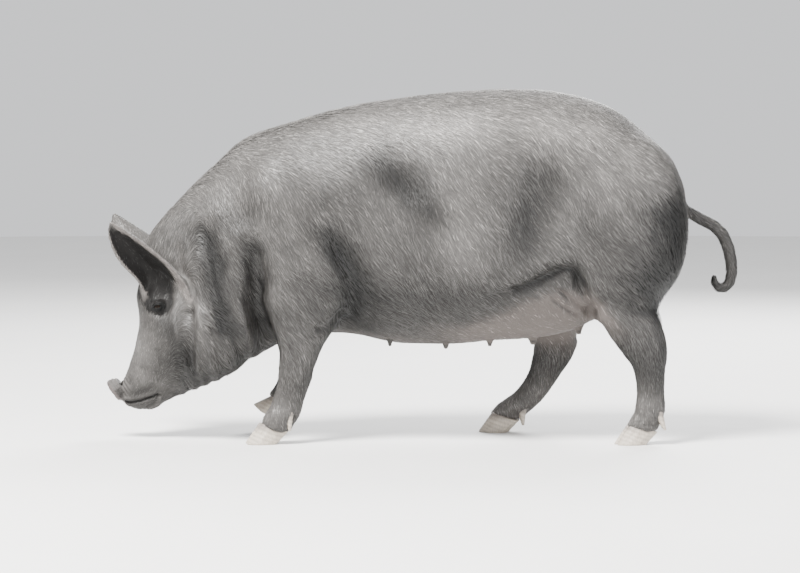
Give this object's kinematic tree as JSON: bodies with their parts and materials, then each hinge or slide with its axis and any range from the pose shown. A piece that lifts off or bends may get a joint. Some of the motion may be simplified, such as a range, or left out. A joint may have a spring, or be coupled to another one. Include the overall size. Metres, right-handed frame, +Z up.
{
  "type": "adult sow, walking",
  "caption": "Full-grown prick-eared dark sow walking with her head lowered, long deep body, bristly coat, cloven feet and hanging tail.",
  "frame": {"origin": "middle of the footprint of the whole animal, at floor level", "axes": "+Z up, -X the way she faces, -Y her left side"},
  "size_m": [1.5668, 0.4938, 0.8657],
  "materials": {
    "coat": "short, coarse, glossy dark bristles over slate skin",
    "skin": "thick wrinkled skin, bare on the udder, snout and lower legs",
    "ear_skin": "thin dark ear with a paler rim",
    "snout_skin": "bare moist grained disc",
    "horn": "striated hoof horn",
    "eye": "wet, dark brown"
  },
  "bodies": {
    "root": {"trunk": "coat", "neck": "coat", "head": "coat", "lower_jaw": "coat", "snout": "snout_skin", "ear_left": "ear_skin", "eye_left": "eye", "ear_right": "ear_skin", "eye_right": "eye", "tail": "coat", "leg_fore_left": "coat", "claw_fore_left_outer": "horn", "dewclaw_fore_left_outer": "horn", "claw_fore_left_inner": "horn", "dewclaw_fore_left_inner": "horn", "leg_fore_right": "coat", "claw_fore_right_outer": "horn", "dewclaw_fore_right_outer": "horn", "claw_fore_right_inner": "horn", "dewclaw_fore_right_inner": "horn", "leg_hind_left": "coat", "claw_hind_left_outer": "horn", "dewclaw_hind_left_outer": "horn", "claw_hind_left_inner": "horn", "dewclaw_hind_left_inner": "horn", "leg_hind_right": "coat", "claw_hind_right_outer": "horn", "dewclaw_hind_right_outer": "horn", "claw_hind_right_inner": "horn", "dewclaw_hind_right_inner": "horn"}
  },
  "joints": []
}
